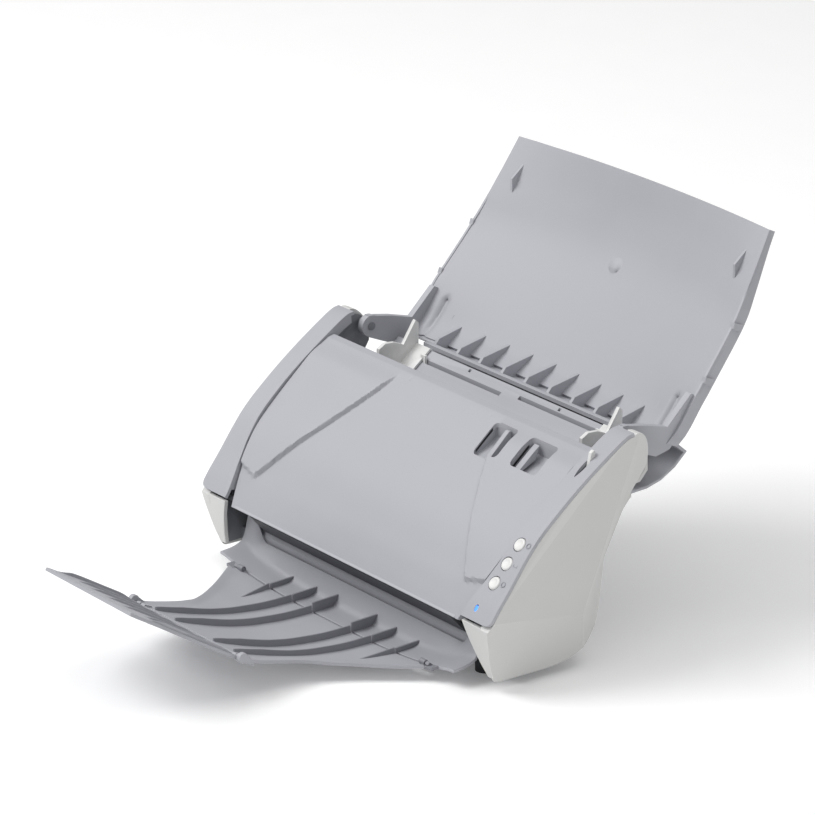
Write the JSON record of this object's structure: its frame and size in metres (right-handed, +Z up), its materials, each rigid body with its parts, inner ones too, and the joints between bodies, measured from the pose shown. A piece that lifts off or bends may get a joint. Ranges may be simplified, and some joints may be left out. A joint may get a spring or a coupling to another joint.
{
  "type": "sheet fed document scanner",
  "caption": "Desktop sheet fed document scanner with hinged feed tray, opening front cover, page guides, feed rollers, control buttons and a folding output tray.",
  "frame": {"origin": "middle of the overall footprint with both trays open, on the table surface", "axes": "+Z up, -Y to the front where sheets come out, X across the width"},
  "size_m": [0.324, 0.473, 0.2664],
  "materials": {
    "grey_plastic": "fine satin texture",
    "pale_plastic": "fine satin texture",
    "white_plastic": "smooth",
    "dark_plastic": "matt",
    "rubber": "ground rubber",
    "steel": "turned",
    "tin_plate": "plated",
    "brass": "turned",
    "glass": "clear",
    "circuit_board": "solder resist",
    "led_blue": "clear tinted, lit"
  },
  "bodies": {
    "base": {"chassis": "dark_plastic", "lower_guide": "grey_plastic", "side_cover_right": "pale_plastic", "side_cover_left": "pale_plastic", "trim_strip_left": "grey_plastic", "control_panel": "grey_plastic", "rear_cover": "pale_plastic", "power_inlet": "dark_plastic", "usb_socket": "tin_plate", "main_board": "circuit_board", "button_board": "circuit_board", "drive_motor": "tin_plate", "drive_belt": "rubber", "image_sensor_lower": "dark_plastic", "scan_glass_lower": "glass", "output_floor": "grey_plastic", "led_lens": "led_blue", "foot_front_left": "rubber", "foot_front_right": "rubber", "foot_rear_left": "rubber", "foot_rear_right": "rubber"},
    "motor_pulley": {"motor_pulley": "brass"},
    "feed_roller": {"feed_shaft": "steel", "feed_tyre": "rubber"},
    "entry_roller": {"entry_shaft": "steel", "entry_tyre_left": "rubber", "entry_tyre_right": "rubber"},
    "exit_roller": {"exit_shaft": "steel", "exit_tyre_left": "rubber", "exit_tyre_right": "rubber"},
    "front_cover": {"front_cover": "grey_plastic", "inner_cover": "dark_plastic", "image_sensor_upper": "dark_plastic", "scan_glass_upper": "glass", "cover_latch": "grey_plastic"},
    "retard_roller": {"retard_roller": "rubber"},
    "pinch_roller_in": {"pinch_roller_in": "rubber"},
    "pinch_roller_out": {"pinch_roller_out": "rubber"},
    "feed_tray": {"feed_tray": "grey_plastic", "tray_skirt": "grey_plastic"},
    "output_tray": {"output_tray": "grey_plastic"},
    "tray_extension": {"tray_extension": "grey_plastic"},
    "page_guide_left": {"page_guide_left": "white_plastic"},
    "page_guide_right": {"page_guide_right": "white_plastic"},
    "guide_pinion": {"guide_pinion": "brass"},
    "button_stop": {"button_stop": "white_plastic"},
    "button_mode": {"button_mode": "white_plastic"},
    "button_start": {"button_start": "white_plastic"},
    "feed_selector": {"feed_selector": "white_plastic"}
  },
  "joints": [
    {"name": "feed_tray_hinge", "type": "hinge", "parent": "base", "child": "feed_tray", "pos_m": [0, 0.09868, 0.1484], "axis": [1, 0, 0], "range_deg": [0, 165]},
    {"name": "front_cover_hinge", "type": "hinge", "parent": "base", "child": "front_cover", "pos_m": [0, -0.02232, 0.0474], "axis": [-1, 0, 0], "range_deg": [-60, 0]},
    {"name": "output_tray_hinge", "type": "hinge", "parent": "base", "child": "output_tray", "pos_m": [0, -0.04012, 0.0101], "axis": [-1, 0, 0], "range_deg": [0, 45]},
    {"name": "tray_extension_hinge", "type": "hinge", "parent": "output_tray", "child": "tray_extension", "pos_m": [0, -0.15692, 0.0277], "axis": [-1, 0, 0], "range_deg": [0, 84]},
    {"name": "page_guide_left_slide", "type": "slide", "parent": "base", "child": "page_guide_left", "axis": [1, 0, 0], "range_m": [0, 0.07]},
    {"name": "page_guide_right_slide", "type": "slide", "parent": "base", "child": "page_guide_right", "axis": [-1, 0, 0], "range_m": [0, 0.07]},
    {"name": "guide_pinion_turn", "type": "hinge", "parent": "base", "child": "guide_pinion", "pos_m": [0, 0.11188, 0.1194], "axis": [0, 0, 1], "range_deg": [0, 1300]},
    {"name": "feed_spin", "type": "hinge", "parent": "base", "child": "feed_roller", "pos_m": [0, 0.0682, 0.08826], "axis": [1, 0, 0], "continuous": true},
    {"name": "entry_spin", "type": "hinge", "parent": "base", "child": "entry_roller", "pos_m": [0, 0.04457, 0.07151], "axis": [1, 0, 0], "continuous": true},
    {"name": "exit_spin", "type": "hinge", "parent": "base", "child": "exit_roller", "pos_m": [0, 0.00457, 0.03151], "axis": [1, 0, 0], "continuous": true},
    {"name": "motor_spin", "type": "hinge", "parent": "base", "child": "motor_pulley", "pos_m": [0, 0.04068, 0.0304], "axis": [1, 0, 0], "continuous": true},
    {"name": "retard_spin", "type": "hinge", "parent": "front_cover", "child": "retard_roller", "pos_m": [0, 0.05831, 0.10134], "axis": [1, 0, 0], "continuous": true},
    {"name": "pinch_in_spin", "type": "hinge", "parent": "front_cover", "child": "pinch_roller_in", "pos_m": [0, 0.03651, 0.07957], "axis": [1, 0, 0], "continuous": true},
    {"name": "pinch_out_spin", "type": "hinge", "parent": "front_cover", "child": "pinch_roller_out", "pos_m": [0, -0.00149, 0.04157], "axis": [1, 0, 0], "continuous": true},
    {"name": "button_stop_press", "type": "slide", "parent": "base", "child": "button_stop", "axis": [0, 0.7412, -0.6712], "range_m": [0, 0.0012], "stiffness_N_per_m": 300},
    {"name": "button_mode_press", "type": "slide", "parent": "base", "child": "button_mode", "axis": [0, 0.7412, -0.6712], "range_m": [0, 0.0012], "stiffness_N_per_m": 300},
    {"name": "button_start_press", "type": "slide", "parent": "base", "child": "button_start", "axis": [0, 0.7412, -0.6712], "range_m": [0, 0.0012], "stiffness_N_per_m": 300},
    {"name": "feed_selector_slide", "type": "slide", "parent": "base", "child": "feed_selector", "axis": [0, -0.837, -0.5472], "range_m": [0, 0.009]}
  ],
  "couplings": [
    {"joint": "page_guide_right_slide", "follows": "page_guide_left_slide", "ratio": 1},
    {"joint": "guide_pinion_turn", "follows": "page_guide_left_slide", "rad_per_m": 322.58},
    {"joint": "feed_spin", "follows": "motor_spin", "ratio": 0.8889},
    {"joint": "entry_spin", "follows": "motor_spin", "ratio": 0.8889},
    {"joint": "exit_spin", "follows": "motor_spin", "ratio": 0.8889}
  ]
}
